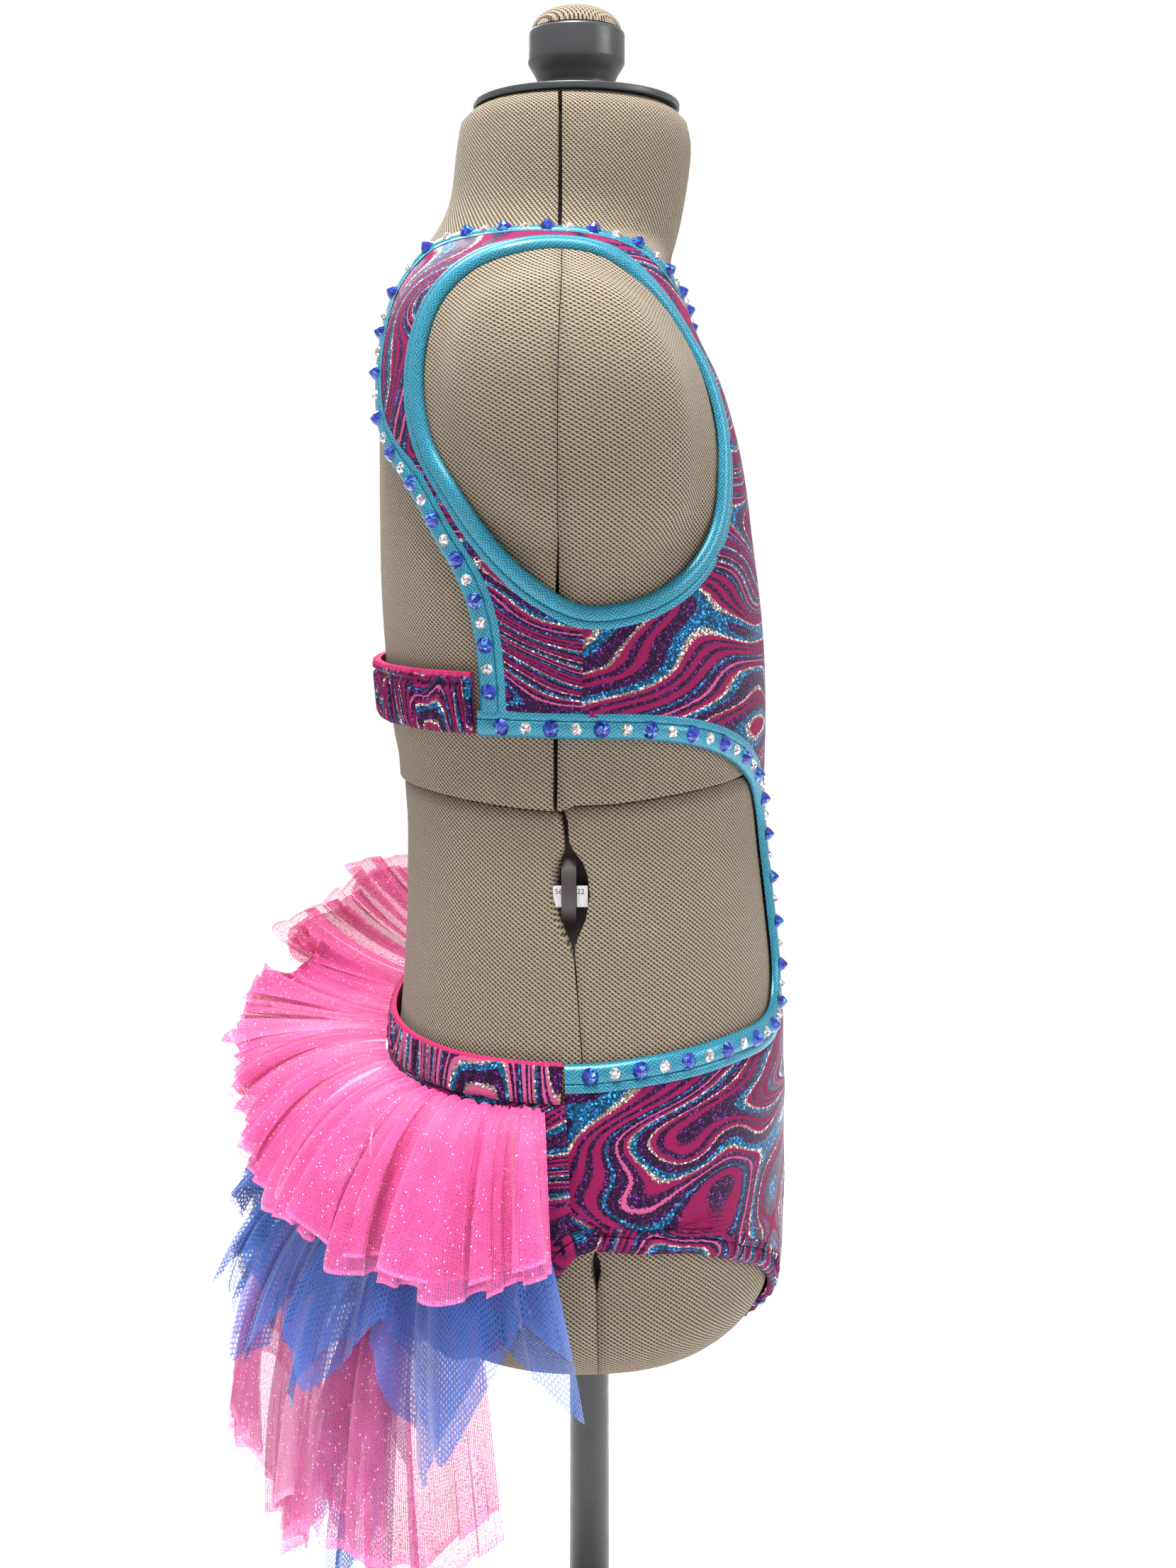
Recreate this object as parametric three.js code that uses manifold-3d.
// A child's dance leotard with a bustle of gathered tulle, worn by a limbless dress form on a
// stand. Millimetres, +Z up. The chest faces -Y and the wearer's left is +X. The origin is the
// centre of the stand's underside. Every garment piece is laid out on the form's own surface:
// its edges are lines drawn on the form, and its wall is lifted off the form along the normal.
import * as THREE from "three";
import { mergeVertices } from "three/addons/utils/BufferGeometryUtils.js";
import Module from "manifold-3d";

// Cloth: how far its inner face lies off the form, and how thick the wall is
const CLOTH_UNDER = 1.3;
const CLOTH_THICK = 1.3;
const SEAM_GAP = 0.5;
// Elastic bindings: widths, and how far off the form their inner face, rims and crown lie
const NECK_WIDTH = 10;
const ARMHOLE_WIDTH = 7.5;
const CUTOUT_WIDTH = 9;
const LEG_WIDTH = 8;
const BINDING_UNDER = 1.1;
const BINDING_RIM = 2.8;
const BINDING_CROWN = 3.4;
// Large pointed stones along the neck, the open back and the side cutouts
const STONE_PITCH = 18.4;
const STONE_HALF = 3.3;
const STONE_HEIGHT = 3;
// Gathered bands: heights of their edges, ribs, and the waves of the gathers
const BACK_BAND = { low: 482.5, high: 506, ribs: 22, thick: 2.2, rib: 1.3, under: 1.3 };
const WAISTBAND = { low: 345.2, high: 360, ribs: 26, thick: 1.9, rib: 0.8, under: 1.3 };
const TULLE_THICK = 1;
const ROOT_OFF = CLOTH_UNDER + CLOTH_THICK + 1.3;
// Form, cap, knob, pincushion and stand
const NECK_TOP = 741;
const CROTCH = { y: 2, z: 219 };
const HIP_LOW = 265;
const BOTTOM_ROUND = 2.25;
const CAP = { radius: 44.7, low: 741.3, high: 745 };
const POLE = { x: 45, y: -6, radius: 9, foot: 8.3, top: 246 };
const BASE = { radius: 140, rim: 6, height: 11, boss: 22, bossHeight: 20 };

/** Turns rows of numbers under named columns into objects. */
function table(columns, rows) {
  return rows.map((row) => Object.fromEntries(columns.map((name, i) => [name, row[i]])));
}

const vec = (x, y, z) => new THREE.Vector3(x, y, z);
const clamp = THREE.MathUtils.clamp;
const radians = THREE.MathUtils.degToRad;

// The form's level sections: half width, front and back, and how square each end is
const SECTIONS = table(["z", "half", "front", "back", "squareFront", "squareBack"], [
  [265, 113, -85, 83.5, 2.3, 2.2],
  [290, 115, -85.5, 85, 2.3, 2.2],
  [315, 113.5, -85.5, 82.5, 2.3, 2.3],
  [345, 110, -85.5, 77, 2.3, 2.3],
  [380, 105, -84, 74, 2.3, 2.3],
  [410, 99.5, -81, 73, 2.3, 2.3],
  [435, 97, -78.5, 73, 2.3, 2.3],
  [455, 98, -77.5, 75, 2.3, 2.3],
  [480, 101, -78, 79.5, 2.3, 2.3],
  [505, 104, -77.5, 82, 2.3, 2.3],
  [530, 106, -75.5, 83.5, 2.3, 2.4],
  [555, 106.5, -72, 84, 2.5, 2.5],
  [580, 107.5, -68.5, 84, 2.7, 2.6],
  [600, 108.5, -64, 84, 2.9, 2.6],
  [620, 109, -57.5, 83.5, 3, 2.5],
  [638, 108, -49, 81.5, 2.9, 2.3],
  [650, 105, -44.5, 79, 2.7, 2.1],
  [660, 99.5, -41.5, 76, 2.5, 1.9],
  [668, 90, -41, 73, 2.3, 1.8],
  [674, 77, -41.5, 71, 2.15, 1.8],
  [679, 64, -42.5, 68, 2.05, 1.9],
  [684, 56, -44, 64, 2, 2],
  [700, 50.5, -47.5, 56, 2, 2],
  [725, 50, -50.5, 52.5, 2, 2],
  [735, 48.5, -48.5, 50.5, 2, 2],
  [NECK_TOP, 43, -42, 44, 2, 2],
]);
const TRAITS = ["half", "front", "back", "squareFront", "squareBack"];
// The rounded caps over the arm holes
const ARM_CAP = { y: 2, z: 598, reachY: 56, reachZ: 69, lift: 16 };

/** Slope of one trait at section k, held back so that the outline never overshoots. */
function slopeOf(trait, k) {
  const rise = (i) =>
    (SECTIONS[i + 1][trait] - SECTIONS[i][trait]) / (SECTIONS[i + 1].z - SECTIONS[i].z);
  if (k === 0) return 0;
  if (k === SECTIONS.length - 1) return rise(k - 1);
  const [below, above] = [rise(k - 1), rise(k)];
  if (below * above <= 0) return 0;
  const mean = (below + above) / 2;
  return Math.sign(mean) * Math.min(Math.abs(mean), 2 * Math.abs(below), 2 * Math.abs(above));
}
SECTIONS.forEach((s, k) => (s.slope = Object.fromEntries(TRAITS.map((t) => [t, slopeOf(t, k)]))));

/** The form's level section at height z. Below the hips it closes in a round bottom. */
function sectionAt(z) {
  if (z < HIP_LOW) {
    const hip = SECTIONS[0];
    const drop = clamp((HIP_LOW - z) / (HIP_LOW - CROTCH.z), 0, 1);
    const shrink = (1 - drop ** BOTTOM_ROUND) ** (1 / BOTTOM_ROUND);
    const centre = (hip.front + hip.back) / 2;
    return {
      ...hip,
      half: hip.half * shrink,
      front: centre + (hip.front - centre) * shrink,
      back: centre + (hip.back - centre) * shrink,
    };
  }
  let k = SECTIONS.findIndex((s) => s.z > z) - 1;
  if (k < 0) k = SECTIONS.length - 2;
  const [a, b] = [SECTIONS[k], SECTIONS[k + 1]];
  const span = b.z - a.z;
  const t = clamp((z - a.z) / span, 0, 1);
  const blend = (trait) =>
    (2 * t ** 3 - 3 * t ** 2 + 1) * a[trait] +
    (t ** 3 - 2 * t ** 2 + t) * a.slope[trait] * span +
    (3 * t ** 2 - 2 * t ** 3) * b[trait] +
    (t ** 3 - t ** 2) * b.slope[trait] * span;
  return Object.fromEntries(TRAITS.map((trait) => [trait, blend(trait)]));
}

/** How far the arm cap pushes the side of the form out at this height and depth. */
function armCap(x, y, z) {
  const off = ((y - ARM_CAP.y) / ARM_CAP.reachY) ** 2 + ((z - ARM_CAP.z) / ARM_CAP.reachZ) ** 2;
  return ARM_CAP.lift * Math.max(0, 1 - off) ** 1.5 * clamp((Math.abs(x) - 60) / 20, 0, 1);
}

/** Below zero inside the form, zero on its surface. */
function depthAt(p) {
  const s = sectionAt(Math.max(p.z, HIP_LOW));
  const middle = (s.front + s.back) / 2;
  const square = p.y < middle ? s.squareFront : s.squareBack;
  const across = Math.max(0, Math.abs(p.x) - armCap(p.x, p.y, p.z)) / s.half;
  const along = Math.abs(p.y - middle) / ((s.back - s.front) / 2);
  const level = (across ** square + along ** square) ** (1 / square);
  const drop = Math.max(0, (HIP_LOW - p.z) / (HIP_LOW - CROTCH.z));
  const round = (level ** BOTTOM_ROUND + drop ** BOTTOM_ROUND) ** (1 / BOTTOM_ROUND) - 1;
  return Math.max(round, (p.z - NECK_TOP) / 20);
}

/** The form's outward direction at a point on it. */
function outward(p, step = 0.4) {
  const slope = ["x", "y", "z"].map((axis) => {
    const [ahead, behind] = [p.clone(), p.clone()];
    ahead[axis] += step;
    behind[axis] -= step;
    return depthAt(ahead) - depthAt(behind);
  });
  return vec(...slope).normalize();
}

/** Slides a point onto the form along the ray from the form's core. */
function onForm(p) {
  const core = vec(0, 0, clamp(p.z, 320, 600));
  const s = sectionAt(core.z);
  core.y = (s.front + s.back) / 2;
  const ray = p.clone().sub(core).normalize();
  let [near, far] = [0, 260];
  for (let i = 0; i < 34; i += 1) {
    const half = (near + far) / 2;
    if (depthAt(core.clone().addScaledVector(ray, half)) < 0) near = half;
    else far = half;
  }
  return core.addScaledVector(ray, near);
}

const lifted = (p, height) => p.clone().addScaledVector(outward(p), height);

/** The point on the form at a height and an angle: 0 the right side, 90 the back. */
function roundBack(angle, z) {
  const s = sectionAt(z);
  const away = radians(angle);
  let p = vec(-100 * Math.cos(away), (s.front + s.back) / 2 + 100 * Math.sin(away), z);
  for (let i = 0; i < 3; i += 1) {
    p = onForm(p);
    p.z = z;
  }
  return onForm(p);
}

/** The angle, as roundBack takes it, at which a point lies. */
function angleOf(p) {
  const s = sectionAt(p.z);
  return THREE.MathUtils.radToDeg(Math.atan2(p.y - (s.front + s.back) / 2, -p.x));
}

/** A line on the form: closely spaced points, and the length to each. */
class Line {
  constructor(points, closed = false) {
    this.points = closed ? [...points, points[0].clone()] : points;
    this.closed = closed;
    this.lengths = [0];
    for (let i = 1; i < this.points.length; i += 1) {
      this.lengths.push(this.lengths[i - 1] + this.points[i].distanceTo(this.points[i - 1]));
    }
    this.total = this.lengths.at(-1);
  }
  /** The point this far along; a closed line goes round. */
  at(distance) {
    const s = this.closed
      ? THREE.MathUtils.euclideanModulo(distance, this.total)
      : clamp(distance, 0, this.total);
    const k = clamp(this.lengths.findIndex((l) => l > s) - 1, 0, this.points.length - 2);
    const last = this.lengths.every((l) => l <= s);
    if (last) return this.points.at(-1).clone();
    const t = (s - this.lengths[k]) / (this.lengths[k + 1] - this.lengths[k]);
    return this.points[k].clone().lerp(this.points[k + 1], t);
  }
  /** The direction that lies to the left of the line, seen from outside the form. */
  left(distance) {
    const ahead = this.at(distance + 1.5).sub(this.at(distance - 1.5)).normalize();
    return outward(this.at(distance)).cross(ahead).normalize();
  }
  /** How far along the line its nearest point to p lies. */
  nearest(p) {
    const away = this.points.map((q) => q.distanceTo(p));
    return this.lengths[away.indexOf(Math.min(...away))];
  }
  /** Points between two places on the line, evenly spaced unless a spacing is given. */
  stretch(from, to, steps, spacing = (share) => share) {
    return Array.from({ length: steps + 1 }, (_, i) =>
      onForm(this.at(from + (to - from) * spacing(i / steps))),
    );
  }
  /** The same line moved to its left over the form. */
  beside(distance) {
    const count = Math.ceil(this.total / 3);
    const ends = this.closed ? count : count + 1;
    const moved = Array.from({ length: ends }, (_, i) => {
      const s = (this.total * i) / count;
      return onForm(this.at(s).addScaledVector(this.left(s), distance));
    });
    return new Line(moved, this.closed);
  }
}

// Spacings that crowd the points of an edge together before its end
const crowdedLate = (share) => share + 0.1 * Math.sin(Math.PI * share ** 2);
const crowdedMidway = (share) => share + 0.15 * Math.sin(Math.PI * share);

/** A smooth line drawn on the form through a few points. */
function drawn(rows, closed = false) {
  const through = rows.map(([x, y, z]) => onForm(vec(x, y, z)));
  const spline = new THREE.CatmullRomCurve3(through, closed, "centripetal");
  const points = spline.getSpacedPoints(Math.ceil(spline.getLength() / 3)).map(onForm);
  if (closed) points.pop();
  return new Line(points, closed);
}

// Bare edges of the garment on the wearer's right, as x, y, z on the form
const NECK_EDGE = drawn([
  [25, -41, 655], [0, -46, 650], [-25, -41, 655], [-45, -35, 661], [-56, -25, 668], [-61, -12, 674],
  [-63, 0, 677.5], [-64, 11, 678], [-60, 30, 678.6], [-48.5, 48, 678.6], [-41, 60, 674.5],
  [-37, 69, 666], [-37.5, 74.7, 652.6], [-47, 76.7, 638], [-58, 77.9, 609], [-64, 76, 598],
  [-75, 70.9, 586], [-86, 62.8, 574], [-93, 53.2, 555.6], [-97, 44.8, 540.7],
  [-98, 39.4, 525.8], [-97, 37.1, 508], [-94, 35.9, 481],
]);
const ARMHOLE_EDGE = drawn([
  [-88.7, 0, 667.6], [-89.8, 10, 667.8], [-92.5, 22.6, 665.7], [-91.5, 37.7, 660.4], [-91, 49.7, 649.6],
  [-92, 56.3, 633.9], [-93, 58.3, 615.7], [-95.5, 54.5, 594.6], [-104, 44.4, 576.4],
  [-108.5, 29.4, 555.7], [-108, 13.3, 540.4], [-106, 0, 532.7], [-105, -8.8, 531.5],
  [-99.5, -28.3, 536.3], [-88, -43.9, 548.9], [-79, -52.1, 564.7], [-76, -55.4, 583.2],
  [-72.5, -54.7, 601.9], [-73.5, -47.8, 623.4], [-80.5, -35.1, 642.7], [-87.5, -19.7, 657.9],
  [-88.5, -8, 665.5],
], true);
const CUTOUT_EDGE = drawn([
  [-94, 35.9, 481], [-98.5, 22.4, 481], [-100.5, 10.4, 480.7], [-100.5, -7.4, 480.4],
  [-97, -25.4, 479.7], [-87.5, -43.9, 476.5], [-74.5, -57, 470.7], [-59.5, -66, 462.6],
  [-46, -71.5, 453], [-39, -75, 441], [-37, -77, 425], [-36.5, -78, 410], [-37, -79, 395],
  [-39.5, -80, 380], [-47, -79, 370], [-56, -76, 366], [-67, -71.6, 364.8],
  [-85, -59, 364.7], [-98.5, -43, 363.3], [-105.5, -25, 361.7], [-107.5, -7.3, 360],
  [-107.5, 4.2, 359.5],
]);
const LEG_EDGE = drawn([
  [-114.5, -2, 291], [-112, -23.4, 290], [-104, -43, 287], [-92, -57, 280], [-66, -73, 266],
  [-48, -76, 252], [-36, -66, 236], [-30, -42, 225], [-28, -14, 220], [-28, 14, 220],
  [-32, 34, 223], [-46, 46, 228], [-66, 48, 234], [-90, 38, 246], [-104, 22, 260],
  [-111, 10, 277],
], true);
const NECK_SEAM = NECK_EDGE.beside(NECK_WIDTH + SEAM_GAP);
const ARMHOLE_SEAM = ARMHOLE_EDGE.beside(-ARMHOLE_WIDTH - SEAM_GAP);
const CUTOUT_SEAM = CUTOUT_EDGE.beside(CUTOUT_WIDTH + SEAM_GAP);
const LEG_SEAM = LEG_EDGE.beside(LEG_WIDTH + SEAM_GAP);

// How many stretches each shared edge has, from corner to corner
const STEPS = {
  neckFront: 6,
  neckBack: 15,
  armholeFront: 10,
  armholeBack: 12,
  bodiceSeam: 3,
  chestMiddle: 7,
  cutoutSide: 4,
  cutoutFlank: 7,
  stripAcross: 3,
  stripDown: 6,
  briefSeam: 3,
  legFront: 10,
  legBack: 10,
  seatAcross: 9,
};
const HALF_GAP = SEAM_GAP / 2;
const NECK_MIDDLE = NECK_SEAM.nearest(vec(0, -48, 640));
const SHOULDER = NECK_SEAM.nearest(vec(-72, 0, 675));
const SIDE_TOP = ARMHOLE_SEAM.nearest(vec(-105.5, -2.9, 524));
const SIDE_LOW = CUTOUT_SEAM.nearest(vec(-102, -1, 490));
const STRIP_TOP = CUTOUT_SEAM.nearest(vec(-38, -74, 460));
const STRIP_LOW = CUTOUT_SEAM.nearest(vec(-42, -81, 362));
const GUSSET_SIDE = LEG_SEAM.nearest(vec(-19.6, CROTCH.y, CROTCH.z));
const BACK_CORNER = CUTOUT_SEAM.nearest(NECK_SEAM.at(NECK_SEAM.total - CUTOUT_WIDTH));

// The edges that the pieces share with their bindings, as the corners of straight stretches
const EDGES = {
  neckFront: NECK_SEAM.stretch(
    NECK_MIDDLE,
    SHOULDER - HALF_GAP,
    STEPS.neckFront,
    crowdedLate,
  ),
  neckBack: NECK_SEAM.stretch(
    SHOULDER + HALF_GAP,
    NECK_SEAM.nearest(CUTOUT_SEAM.at(BACK_CORNER)),
    STEPS.neckBack,
    crowdedLate,
  ),
  armholeBack: ARMHOLE_SEAM.stretch(HALF_GAP, SIDE_TOP - HALF_GAP, STEPS.armholeBack),
  armholeFront: ARMHOLE_SEAM.stretch(
    SIDE_TOP + HALF_GAP,
    ARMHOLE_SEAM.total - HALF_GAP,
    STEPS.armholeFront,
    crowdedLate,
  ),
  cutoutSide: CUTOUT_SEAM.stretch(BACK_CORNER, SIDE_LOW - HALF_GAP, STEPS.cutoutSide),
  cutoutChest: CUTOUT_SEAM.stretch(SIDE_LOW + HALF_GAP, STRIP_TOP, STEPS.cutoutFlank),
  cutoutStrip: CUTOUT_SEAM.stretch(STRIP_TOP, STRIP_LOW, STEPS.stripDown),
  cutoutBrief: CUTOUT_SEAM.stretch(STRIP_LOW, CUTOUT_SEAM.total, STEPS.cutoutFlank),
  legFront: LEG_SEAM.stretch(HALF_GAP, GUSSET_SIDE - HALF_GAP, STEPS.legFront),
  legBack: LEG_SEAM.stretch(GUSSET_SIDE + HALF_GAP, LEG_SEAM.total - HALF_GAP, STEPS.legBack),
};
EDGES.neckFront[0].x = 0;
EDGES.neckBack[STEPS.neckBack] = EDGES.cutoutSide[0].clone();

/** A sheet: shared points, and triangles that face out. */
function sheetOf(grid) {
  const columns = grid[0].length;
  const faces = [];
  for (let r = 0; r + 1 < grid.length; r += 1) {
    for (let c = 0; c + 1 < columns; c += 1) {
      const [a, b] = [r * columns + c, r * columns + c + 1];
      const [d, e] = [a + columns, b + columns];
      faces.push([a, d, b], [b, d, e]);
    }
  }
  return { points: grid.flat(), faces };
}

/** The same sheet on the wearer's other side. */
function mirrored(sheet) {
  return {
    points: sheet.points.map((p) => vec(-p.x, p.y, p.z)),
    faces: sheet.faces.map(([a, b, c]) => [a, c, b]),
  };
}

/** One sheet from several that share edge points. */
function joined(...sheets) {
  const places = new Map();
  const points = [];
  const faces = [];
  for (const sheet of sheets) {
    const index = sheet.points.map((p) => {
      const key = [p.x, p.y, p.z].map((v) => Math.round(v * 50)).join();
      if (!places.has(key)) {
        places.set(key, points.length);
        points.push(p);
      }
      return places.get(key);
    });
    for (const face of sheet.faces) faces.push(face.map((i) => index[i]));
  }
  return { points, faces: faces.filter(([a, b, c]) => a !== b && b !== c && a !== c) };
}

/** A solid from points and triangles, turned to face out if need be. */
function solidFrom(points, faces) {
  let volume = 0;
  for (const [a, b, c] of faces) {
    volume += points[a].dot(points[b].clone().cross(points[c]));
  }
  const turned = volume < 0 ? faces.map(([a, b, c]) => [a, c, b]) : faces;
  const geometry = new THREE.BufferGeometry();
  geometry.setAttribute(
    "position",
    new THREE.Float32BufferAttribute(points.flatMap((p) => p.toArray()), 3),
  );
  geometry.setIndex(turned.flat());
  return geometry;
}

/** Gives a sheet its thickness: an inner and an outer face, and a rim where it ends. */
function walled(sheet, inner, outer) {
  const count = sheet.points.length;
  const points = [...sheet.points.map(inner), ...sheet.points.map(outer)];
  const faces = [];
  const edges = new Map();
  for (const [a, b, c] of sheet.faces) {
    faces.push([a, c, b], [a + count, b + count, c + count]);
    for (const [from, to] of [[a, b], [b, c], [c, a]]) {
      if (edges.has(`${to},${from}`)) edges.delete(`${to},${from}`);
      else edges.set(`${from},${to}`, [from, to]);
    }
  }
  for (const [from, to] of edges.values()) {
    faces.push([from, to, to + count], [from, to + count, from + count]);
  }
  return solidFrom(points, faces);
}

/** A wall of cloth that follows the form. */
function clothOn(sheet) {
  return walled(
    sheet,
    (p) => lifted(p, CLOTH_UNDER),
    (p) => lifted(p, CLOTH_UNDER + CLOTH_THICK),
  );
}

/** Fills a four-sided patch on the form; left and right run from top to bottom. */
function patch({ top, bottom, left, right }) {
  const [rows, columns] = [left.length - 1, top.length - 1];
  const corners = [top[0], top[columns], bottom[0], bottom[columns]];
  return left.map((leftPoint, r) =>
    top.map((topPoint, c) => {
      const [u, v] = [c / columns, r / rows];
      if (r === 0) return topPoint.clone();
      if (r === rows) return bottom[c].clone();
      if (c === 0) return leftPoint.clone();
      if (c === columns) return right[r].clone();
      const p = vec(0, 0, 0)
        .addScaledVector(leftPoint, 1 - u)
        .addScaledVector(right[r], u)
        .addScaledVector(topPoint, 1 - v)
        .addScaledVector(bottom[c], v)
        .addScaledVector(corners[0], (u - 1) * (1 - v))
        .addScaledVector(corners[1], -u * (1 - v))
        .addScaledVector(corners[2], (u - 1) * v)
        .addScaledVector(corners[3], -u * v);
      return onForm(p);
    }),
  );
}

/** Points straight from one place to another, laid on the form. */
function across(from, to, steps, spacing = (share) => share) {
  return Array.from({ length: steps + 1 }, (_, i) => {
    if (i === 0) return from.clone();
    if (i === steps) return to.clone();
    return onForm(from.clone().lerp(to, spacing(i / steps)));
  });
}

/** Points down the middle of the front or back, exactly on the plane of symmetry. */
function middle(rows, steps) {
  const line = drawn(rows);
  return line.stretch(0, line.total, steps).map((p) => vec(0, p.y, p.z));
}

/** The front: chest, middle strip and front brief, cut in one. */
function frontPanel() {
  const onMiddle = (y, z) => {
    const p = onForm(vec(0, y, z));
    return vec(0, p.y, p.z);
  };
  const neckTop = EDGES.neckFront[0];
  const stripTop = onMiddle(-78, EDGES.cutoutStrip[0].z - 1);
  const stripLow = onMiddle(-85, EDGES.cutoutBrief[0].z + 1);
  const crotch = vec(0, CROTCH.y - HALF_GAP, CROTCH.z);
  const columns = STEPS.stripAcross + STEPS.cutoutFlank;

  const armhole = [...EDGES.armholeFront].reverse();
  const seamLow = EDGES.cutoutChest[0];
  const waist = [
    ...across(stripTop, EDGES.cutoutStrip[0], STEPS.stripAcross),
    ...[...EDGES.cutoutChest].reverse().slice(1),
  ];
  const down = across(neckTop, stripTop, STEPS.chestMiddle, crowdedMidway).map((p) =>
    vec(0, p.y, p.z),
  );
  const chest = patch({
    top: across(EDGES.neckFront.at(-1), armhole[0], columns),
    bottom: waist,
    left: [...[...EDGES.neckFront].reverse(), ...down.slice(1)],
    right: [...armhole, ...across(armhole.at(-1), seamLow, STEPS.bodiceSeam).slice(1)],
  });

  const briefTop = [
    ...across(stripLow, EDGES.cutoutBrief[0], STEPS.stripAcross),
    ...EDGES.cutoutBrief.slice(1),
  ];
  const strip = patch({
    top: waist.slice(0, STEPS.stripAcross + 1),
    bottom: briefTop.slice(0, STEPS.stripAcross + 1),
    left: across(stripTop, stripLow, STEPS.stripDown).map((p) => vec(0, p.y, p.z)),
    right: EDGES.cutoutStrip,
  });

  const front = [stripLow.toArray(), [0, -86, 320], [0, -85, 268], [0, -68, 228], [0, -38, 209]];
  const brief = patch({
    top: briefTop,
    bottom: across(crotch, EDGES.legFront.at(-1), columns),
    left: middle([...front, crotch.toArray()], STEPS.briefSeam + STEPS.legFront),
    right: [
      ...across(briefTop.at(-1), EDGES.legFront[0], STEPS.briefSeam),
      ...EDGES.legFront.slice(1),
    ],
  });
  const half = joined(sheetOf(chest), sheetOf(strip), sheetOf(brief));
  return clothOn(joined(half, mirrored(half)));
}

/** The side and shoulder strap behind the shoulder seam and the side seam. */
function sideBack() {
  const seam = across(EDGES.armholeBack.at(-1), EDGES.cutoutSide.at(-1), STEPS.bodiceSeam);
  const grid = patch({
    top: across(EDGES.neckBack[0], EDGES.armholeBack[0], STEPS.cutoutSide),
    bottom: EDGES.cutoutSide,
    left: EDGES.neckBack,
    right: [...EDGES.armholeBack, ...seam.slice(1)],
  });
  return clothOn(sheetOf(grid));
}

/** The seat: the back of the brief, down to the crotch seam. */
function seatPanel() {
  const level = WAISTBAND.low - SEAM_GAP;
  const crotch = vec(0, CROTCH.y + HALF_GAP, CROTCH.z);
  const [frontTop, frontLow] = [EDGES.cutoutBrief.at(-1), EDGES.legFront[0]];
  const share = (frontTop.z - level) / (frontTop.z - frontLow.z);
  const sideTop = frontTop.clone().lerp(frontLow, share);
  sideTop.y += SEAM_GAP;
  const start = angleOf(sideTop);
  const top = Array.from({ length: STEPS.seatAcross + 1 }, (_, i) =>
    roundBack(90 + ((start - 90) * i) / STEPS.seatAcross, level),
  );
  top[0].x = 0;
  const leg = [...EDGES.legBack].reverse();
  const back = [top[0].toArray(), [0, 84, 310], [0, 84, 272], [0, 68, 232], [0, 40, 210]];
  const grid = patch({
    top,
    bottom: across(crotch, leg.at(-1), STEPS.seatAcross),
    left: middle([...back, crotch.toArray()], STEPS.briefSeam + STEPS.legBack),
    right: [...across(top.at(-1), leg[0], STEPS.briefSeam), ...leg.slice(1)],
  });
  const half = sheetOf(grid);
  return clothOn(joined(half, mirrored(half)));
}

/** A closed solid through loops of points; open ends are capped. */
function lofted(loops, closed = false) {
  const size = loops[0].length;
  const faces = [];
  const last = closed ? loops.length : loops.length - 1;
  for (let k = 0; k < last; k += 1) {
    const next = (k + 1) % loops.length;
    for (let i = 0; i < size; i += 1) {
      const j = (i + 1) % size;
      const [a, b] = [k * size + i, k * size + j];
      const [d, e] = [next * size + i, next * size + j];
      faces.push([a, b, d], [b, e, d]);
    }
  }
  if (!closed) {
    const end = (loops.length - 1) * size;
    for (let i = 1; i + 1 < size; i += 1) {
      faces.push([0, i + 1, i], [end, end + i, end + i + 1]);
    }
  }
  return solidFrom(loops.flat(), faces);
}

/** One loop round a binding beside a piece's edge: two inner points, a rim, a crown, a rim. */
function bindingLoop(edge, distance, width, raised) {
  const left = edge.left(distance);
  const beside = edge.at(distance);
  const seam = beside.clone().addScaledVector(left, -SEAM_GAP);
  const away = outward(beside);
  const over = (share) => onForm(seam.clone().addScaledVector(left, -width * share));
  return [
    lifted(over(1), BINDING_UNDER),
    seam.clone().addScaledVector(away, BINDING_UNDER),
    seam.clone().addScaledVector(away, BINDING_RIM),
    lifted(over(0.5), BINDING_CROWN + raised),
    lifted(over(1), BINDING_RIM),
  ];
}

/** A binding with large stones raised in its crown; it may start at the middle of the front. */
function stonedBinding(edge, from, to, width, meetsMirror = false) {
  const count = Math.round((to - from) / STONE_PITCH);
  const pitch = (to - from) / count;
  const corners = edge.lengths.filter((s) => s > from + 1 && s < to - 1);
  const stones = Array.from({ length: count }, (_, i) => {
    const place = from + pitch * (i + 0.5);
    return corners.find((s) => Math.abs(s - place) < STONE_HALF) ?? place;
  });
  const apart = (s) => stones.every((stone) => Math.abs(s - stone) > STONE_HALF + 0.5);
  const stations = [
    ...[from, to, ...corners.filter(apart)].map((s) => ({ s, raised: 0 })),
    ...stones.flatMap((s) => [
      { s: s - STONE_HALF, raised: 0 },
      { s, raised: STONE_HEIGHT },
      { s: s + STONE_HALF, raised: 0 },
    ]),
  ].sort((a, b) => a.s - b.s);
  const loops = stations.map(({ s, raised }) => bindingLoop(edge, s, width, raised));
  if (meetsMirror) for (const p of loops[0]) p.x = -HALF_GAP;
  return lofted(loops);
}

/** A plain binding all round a hole, with a loop at each corner of the edge. */
function ringBinding(edge, width) {
  return lofted(edge.lengths.slice(0, -1).map((s) => bindingLoop(edge, s, width, 0)), true);
}

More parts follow.
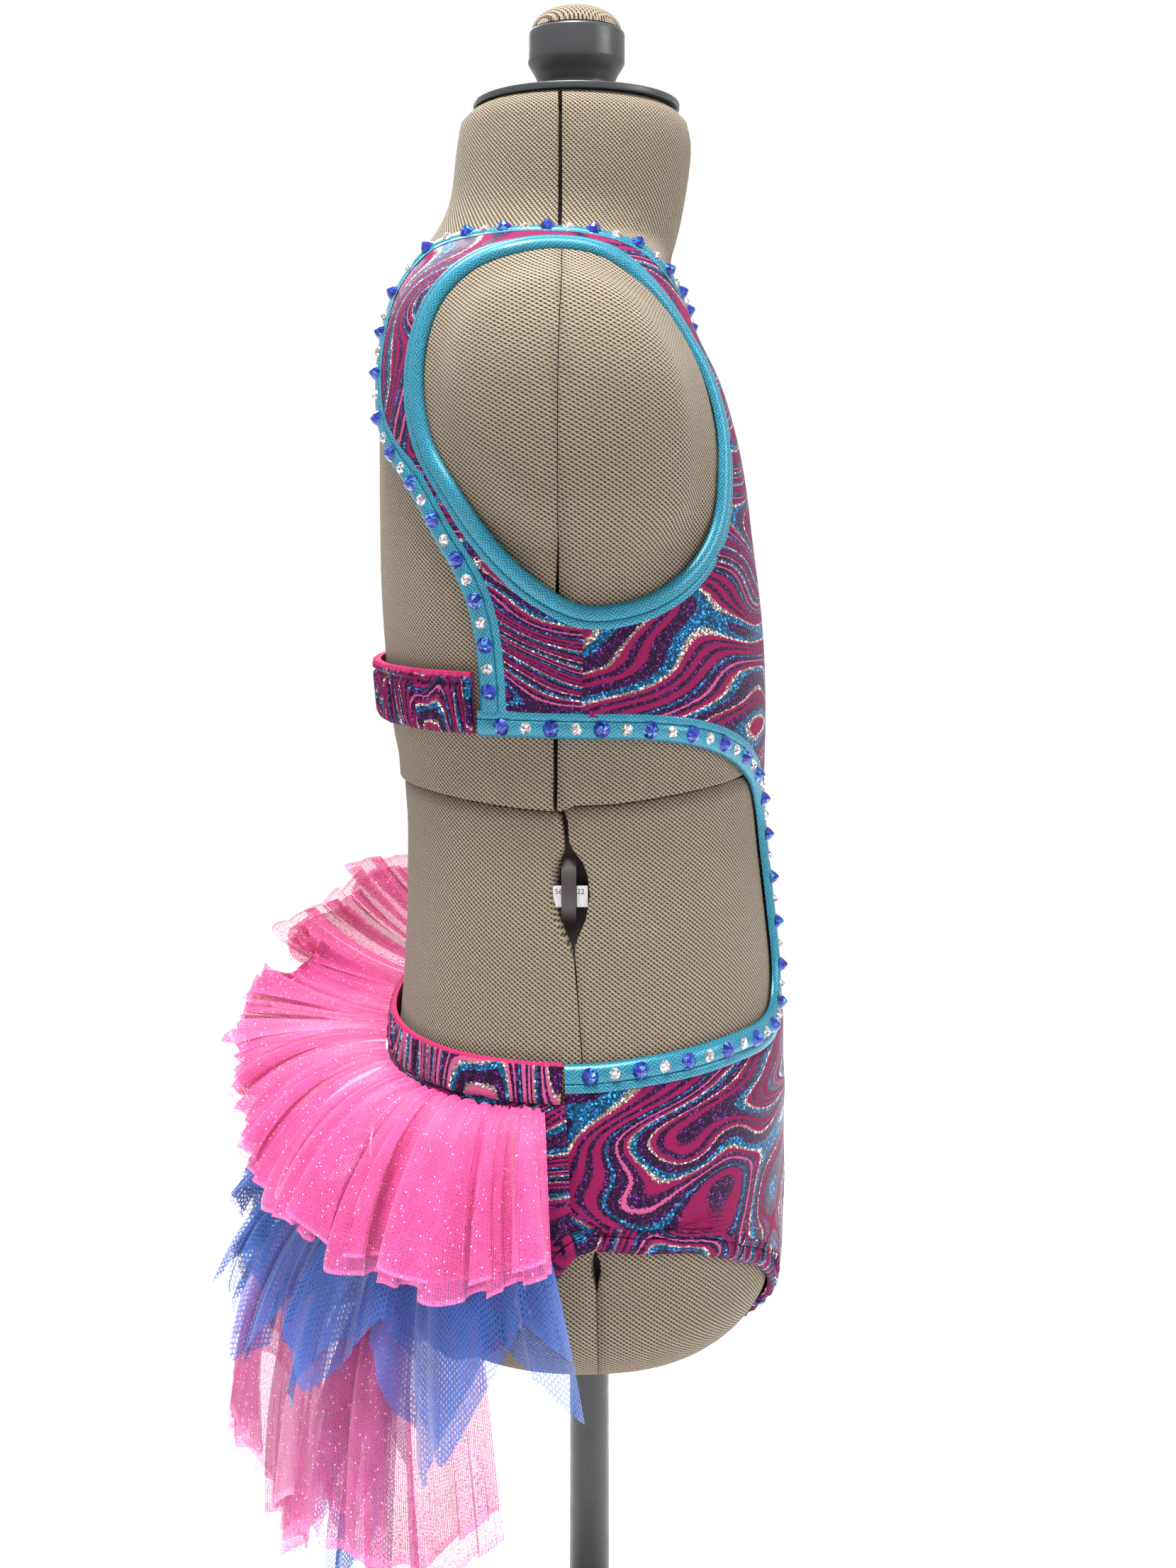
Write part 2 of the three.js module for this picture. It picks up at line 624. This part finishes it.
/** A band gathered over elastic, from one side round the back to the other. */
function gatheredBand(size, startLow, startHigh) {
  const steps = size.ribs * 2 + 1;
  const loops = Array.from({ length: steps + 1 }, (_, i) => {
    const share = (2 * i) / steps - 1;
    const low = roundBack(90 + (90 - startLow) * share, size.low);
    const high = roundBack(90 + (90 - startHigh) * share, size.high);
    const rib = i % 2 ? size.rib : 0;
    const top = size.under + size.thick;
    return [
      lifted(low, size.under),
      lifted(high, size.under),
      lifted(high, top - 0.4 + rib * 0.4),
      lifted(onForm(low.clone().lerp(high, 0.7)), top + rib),
      lifted(onForm(low.clone().lerp(high, 0.3)), top + rib),
      lifted(low, top - 0.4 + rib * 0.4),
    ];
  });
  return lofted(loops);
}

/** Smooth value of one column at a place between a table's rows. */
function between(rows, column, place) {
  const k = clamp(rows.findIndex((row) => row.at > place) - 1, 0, rows.length - 2);
  const last = place >= rows.at(-1).at;
  if (last) return rows.at(-1)[column];
  const t = clamp((place - rows[k].at) / (rows[k + 1].at - rows[k].at), 0, 1);
  return THREE.MathUtils.lerp(rows[k][column], rows[k + 1][column], THREE.MathUtils.smoothstep(t, 0, 1));
}

/** The outward direction at each point of a grid, from its neighbours. */
function gridNormals(grid) {
  return grid.map((row, r) =>
    row.map((_, c) => {
      const up = grid[Math.max(r - 1, 0)][c];
      const down = grid[Math.min(r + 1, grid.length - 1)][c];
      const before = row[Math.max(c - 1, 0)];
      const after = row[Math.min(c + 1, row.length - 1)];
      return down.clone().sub(up).cross(after.clone().sub(before)).normalize();
    }),
  );
}

/** A gathered tier of tulle: its root follows the seat, its hem the table's rows. */
function tier({ root, hem, billow, waves, perWave, rows, swell }) {
  const columns = waves * perWave;
  const [first, last] = [hem[0].at, hem.at(-1).at];
  const flat = Array.from({ length: rows + 1 }, (_, r) =>
    Array.from({ length: columns + 1 }, (_unused, c) => {
      const angle = first + ((last - first) * c) / columns;
      const bow = Math.sin((Math.PI * c) / columns);
      const start = roundBack(angle, root.ends + (root.middle - root.ends) * bow);
      const away = outward(start);
      const rooted = start.clone().addScaledVector(away, ROOT_OFF);
      const out = vec(away.x, away.y, 0).normalize();
      const along = vec(out.y, -out.x, 0);
      const down = r / rows;
      return rooted
        .addScaledVector(out, between(hem, "out", angle) * (1 - (1 - down) ** billow.out))
        .addScaledVector(along, between(hem, "along", angle) * down)
        .addScaledVector(vec(0, 0, -1), between(hem, "down", angle) * down ** billow.down);
    }),
  );
  const normals = gridNormals(flat);
  const waved = flat.map((row, r) =>
    row.map((p, c) => {
      const turn = (2 * Math.PI * c) / perWave;
      const uneven = 1 + 0.25 * Math.sin(c * 0.37 + waves) + 0.15 * Math.sin(c * 0.83);
      const height = swell * uneven * (0.08 + (0.92 * r) / rows);
      return p.clone().addScaledVector(normals[r][c], height * Math.cos(turn));
    }),
  );
  const faceOut = gridNormals(waved).flat();
  const sheet = sheetOf(waved);
  const side = (sign) => (p, i) =>
    p.clone().addScaledVector(faceOut[i], (sign * TULLE_THICK) / 2);
  return walled(sheet, side(-1), side(1));
}

// Where each tier's hem lies off its root: outwards, along the root and down, by angle
const HEM_COLUMNS = ["at", "out", "along", "down"];
const TIERS = {
  tier1_pink: {
    root: { ends: 343, middle: 343 },
    hem: table(HEM_COLUMNS, [
      [8, 24, -8, 54],
      [25, 34, -2, 62],
      [45, 46, 0, 50],
      [65, 52, 0, 42],
      [78, 58, 0, 27],
      [90, 67, 0, 7],
      [103, 66, 0, -13],
      [110, 52, -8, -15],
      [125, 49, -24, -15],
      [142, 52, -48, -35],
      [162, 29, -63, -53],
      [172, 24, -63, -56],
    ]),
    billow: { out: 1.4, down: 1.6 },
    waves: 26,
    perWave: 4,
    rows: 3,
    swell: 5.5,
  },
  tier2_blue: {
    root: { ends: 306, middle: 300 },
    hem: table(HEM_COLUMNS, [
      [8, 16, -24, 77],
      [30, 26, -10, 86],
      [50, 42, 0, 82],
      [70, 54, 0, 76],
      [82, 59, 0, 62],
      [90, 62, 0, 47],
      [115, 54, 0, 40],
      [150, 40, 0, 50],
      [172, 24, 0, 64],
    ]),
    billow: { out: 1.4, down: 1.6 },
    waves: 15,
    perWave: 4,
    rows: 3,
    swell: 5,
  },
  tier3_pink: {
    root: { ends: 270, middle: 266 },
    hem: table(HEM_COLUMNS, [
      [20, 7, -22, 92],
      [45, 29, -14, 103],
      [60, 37, -6, 106],
      [75, 46, 0, 104],
      [90, 60, 0, 97],
      [105, 59, 0, 92],
      [120, 47, 0, 92],
      [140, 28, 0, 90],
      [160, 9, 0, 86],
    ]),
    billow: { out: 2, down: 2 },
    waves: 13,
    perWave: 4,
    rows: 3,
    swell: 6,
  },
  tier4_blue: {
    root: { ends: 242, middle: 240 },
    hem: table(HEM_COLUMNS, [
      [50, 8, 0, 134],
      [70, 22, 0, 128],
      [90, 36, 0, 118],
      [110, 30, 0, 122],
      [130, 12, 0, 132],
    ]),
    billow: { out: 1.4, down: 1.6 },
    waves: 8,
    perWave: 4,
    rows: 3,
    swell: 6,
  },
};

/** The form's body: level rings from the round bottom to the top of the neck. */
function formBody() {
  const heights = [
    219.1, 219.8, 221.6, 225, 229.6, 235.6, 243.5, 254, 267, 290, 315, 345, 378, 408, 434, 456,
    482, 510, 536, 560, 584, 606, 625, 640, 650, 656, 661, 665, 668.5, 671.5, 674.5, 677,
    679.5, 682, 686, 692, 702, 718, 731, NECK_TOP,
  ];
  const sides = 32;
  const inside = 0.9;
  const loops = heights.map((z) => {
    const s = sectionAt(z);
    const [centre, depth] = [(s.front + s.back) / 2, (s.back - s.front) / 2];
    return Array.from({ length: sides }, (_, i) => {
      const turn = (2 * Math.PI * i) / sides;
      const [cos, sin] = [Math.cos(turn), Math.sin(turn)];
      const square = sin < 0 ? s.squareFront : s.squareBack;
      const y = centre + depth * Math.sign(sin) * Math.abs(sin) ** (2 / square);
      const flat = Math.sign(cos) * Math.abs(cos) ** (2 / square) * s.half;
      const x = flat + Math.sign(flat) * armCap(flat + Math.sign(flat) * 8, y, z);
      const away = vec(x, y - centre, 0).normalize();
      return vec(x - away.x * inside, y - away.y * inside, z);
    });
  });
  return lofted(loops);
}

const wasm = await Module();
wasm.setup();

/** A closed geometry as a solid that can be joined and cut. */
function asSolid(geometry) {
  const bare = geometry.clone();
  bare.deleteAttribute("normal");
  bare.deleteAttribute("uv");
  const merged = mergeVertices(bare, 1e-4);
  return new wasm.Manifold(
    new wasm.Mesh({
      numProp: 3,
      vertProperties: new Float32Array(merged.attributes.position.array),
      triVerts: new Uint32Array(merged.index.array),
    }),
  );
}

/** A joined or cut solid as a geometry. */
function asGeometry(solid) {
  const mesh = solid.getMesh();
  const geometry = new THREE.BufferGeometry();
  const stride = mesh.numProp;
  const positions = new Float32Array(mesh.numVert * 3);
  for (let i = 0; i < mesh.numVert; i += 1) {
    positions.set(mesh.vertProperties.subarray(i * stride, i * stride + 3), i * 3);
  }
  geometry.setAttribute("position", new THREE.BufferAttribute(positions, 3));
  geometry.setIndex(new THREE.BufferAttribute(mesh.triVerts, 1));
  return geometry;
}

/** An upright round bar at the pole's place. */
function upright(radius, low, high, sides = 20) {
  const bar = new THREE.CylinderGeometry(radius, radius, high - low, sides);
  bar.rotateX(Math.PI / 2);
  bar.translate(POLE.x, POLE.y, (low + high) / 2);
  return bar;
}

/** A turned piece about the upright axis, from radius and height pairs. */
function turned(profile, sides = 32) {
  const outline = profile.map(([radius, height]) => new THREE.Vector2(radius, height));
  const piece = new THREE.LatheGeometry(outline, sides);
  piece.rotateX(Math.PI / 2);
  return piece;
}

/** The form with a socket in its underside for the pole. */
function socketedForm() {
  const socket = upright(POLE.radius + SEAM_GAP, CROTCH.z - 10, POLE.top + SEAM_GAP);
  return asGeometry(asSolid(formBody()).subtract(asSolid(socket)));
}

/** The round foot with a boss that holds the pole. */
function standBase() {
  const disc = turned([
    [0, 0],
    [BASE.radius - 2, 0],
    [BASE.radius, 2],
    [BASE.radius, BASE.rim - 2],
    [BASE.radius - 3, BASE.rim],
    [BASE.boss + 30, BASE.height],
    [0, BASE.height],
  ], 36);
  const boss = upright(BASE.boss, BASE.height / 2, BASE.bossHeight);
  const bore = upright(POLE.radius + SEAM_GAP, POLE.foot - SEAM_GAP, BASE.bossHeight + 10);
  return asGeometry(asSolid(disc).add(asSolid(boss)).subtract(asSolid(bore)));
}

/** The black plate that closes the neck. */
function neckCap() {
  return turned([
    [0, CAP.low],
    [CAP.radius - 1.5, CAP.low],
    [CAP.radius, CAP.low + 1.2],
    [CAP.radius - 1, CAP.high - 0.6],
    [CAP.radius - 8, CAP.high],
    [0, CAP.high],
  ], 30);
}

/** The black turned knob: a flared foot, a waist and a collar round the pincushion. */
function neckKnob() {
  const foot = CAP.high + 0.3;
  return turned([
    [0, foot],
    [20.5, foot],
    [17, foot + 3],
    [16, foot + 6.5],
    [17.8, foot + 11],
    [21, foot + 16.5],
    [21, foot + 29],
    [20, foot + 30.5],
    [0, foot + 30.5],
  ], 24);
}

/** The beige pincushion dome on the knob. */
function pincushion() {
  const seat = CAP.high + 0.3 + 30.5 + 0.3;
  const [radius, height, steps] = [19.4, 10.5, 5];
  const arc = Array.from({ length: steps + 1 }, (_, i) => {
    const turn = (Math.PI / 2) * (i / steps);
    return [radius * Math.cos(turn), seat + height * Math.sin(turn)];
  });
  arc[steps][0] = 0;
  return turned([[0, seat], ...arc], 24);
}

/** The other side's copy of a solid. */
function otherSide(geometry) {
  const copy = geometry.clone();
  copy.scale(-1, 1, 1);
  const index = copy.index.array;
  for (let i = 0; i < index.length; i += 3) {
    [index[i + 1], index[i + 2]] = [index[i + 2], index[i + 1]];
  }
  return copy;
}

const MATERIALS = {
  print: { color: 0xb0266f, roughness: 0.5, metalness: 0.1 },
  gathered: { color: 0x8f1f68, roughness: 0.55, metalness: 0.1 },
  binding: { color: 0x1aa5bd, roughness: 0.45, metalness: 0.2 },
  pinkTulle: { color: 0xf765a9, roughness: 0.6, metalness: 0 },
  blueTulle: { color: 0x2f62b5, roughness: 0.6, metalness: 0 },
  cover: { color: 0xb7a486, roughness: 0.95, metalness: 0 },
  black: { color: 0x1b1b1d, roughness: 0.4, metalness: 0.1 },
};

const part = new THREE.Group();

/** Adds one named piece to the part. */
function place(name, geometry, material) {
  const mesh = new THREE.Mesh(geometry, new THREE.MeshStandardMaterial(MATERIALS[material]));
  mesh.name = name;
  part.add(mesh);
}

/** Adds a piece for the wearer's right and its copy for the left. */
function placeBoth(name, geometry, material) {
  place(`${name}_right`, geometry, material);
  place(`${name}_left`, otherSide(geometry), material);
}

place("form_torso", socketedForm(), "cover");
place("form_cap", neckCap(), "black");
place("form_knob", neckKnob(), "black");
place("form_pincushion", pincushion(), "cover");
place("stand_pole", upright(POLE.radius, POLE.foot, POLE.top), "black");
place("stand_base", standBase(), "black");

place("front_panel", frontPanel(), "print");
placeBoth("side_back", sideBack(), "print");
place("seat_panel", seatPanel(), "print");

const backEdgeAt = (z) => angleOf(NECK_EDGE.at(NECK_EDGE.nearest(vec(-96, 37, z)))) + 1.1;
place(
  "back_band",
  gatheredBand(BACK_BAND, backEdgeAt(BACK_BAND.low), backEdgeAt(BACK_BAND.high)),
  "gathered",
);
const waistStart = angleOf(CUTOUT_EDGE.at(CUTOUT_EDGE.total)) + 0.9;
place("waistband", gatheredBand(WAISTBAND, waistStart, waistStart), "gathered");

const beforeMiddle = vec(-EDGES.neckFront[1].x, EDGES.neckFront[1].y, EDGES.neckFront[1].z);
const neckLine = new Line([beforeMiddle, ...EDGES.neckFront, ...EDGES.neckBack]);
const neckStart = neckLine.lengths[1] + HALF_GAP;
placeBoth(
  "binding_neck",
  stonedBinding(neckLine, neckStart, neckLine.total - SEAM_GAP, NECK_WIDTH, true),
  "binding",
);
const cutoutLine = new Line([
  onForm(CUTOUT_SEAM.at(0)),
  ...EDGES.cutoutSide,
  ...EDGES.cutoutChest,
  ...EDGES.cutoutStrip.slice(1),
  ...EDGES.cutoutBrief.slice(1),
]);
placeBoth(
  "binding_cutout",
  stonedBinding(cutoutLine, 0, cutoutLine.total, CUTOUT_WIDTH),
  "binding",
);
// The armhole runs the other way round, so that its hole lies to the right of the edge
const armholeLine = new Line([...EDGES.armholeBack, ...EDGES.armholeFront].reverse(), true);
placeBoth("binding_armhole", ringBinding(armholeLine, ARMHOLE_WIDTH), "binding");
const legLine = new Line([...EDGES.legFront, ...EDGES.legBack], true);
placeBoth("leg_hem", ringBinding(legLine, LEG_WIDTH), "gathered");

for (const [name, size] of Object.entries(TIERS)) {
  place(name, tier(size), name.endsWith("pink") ? "pinkTulle" : "blueTulle");
}

export default part;
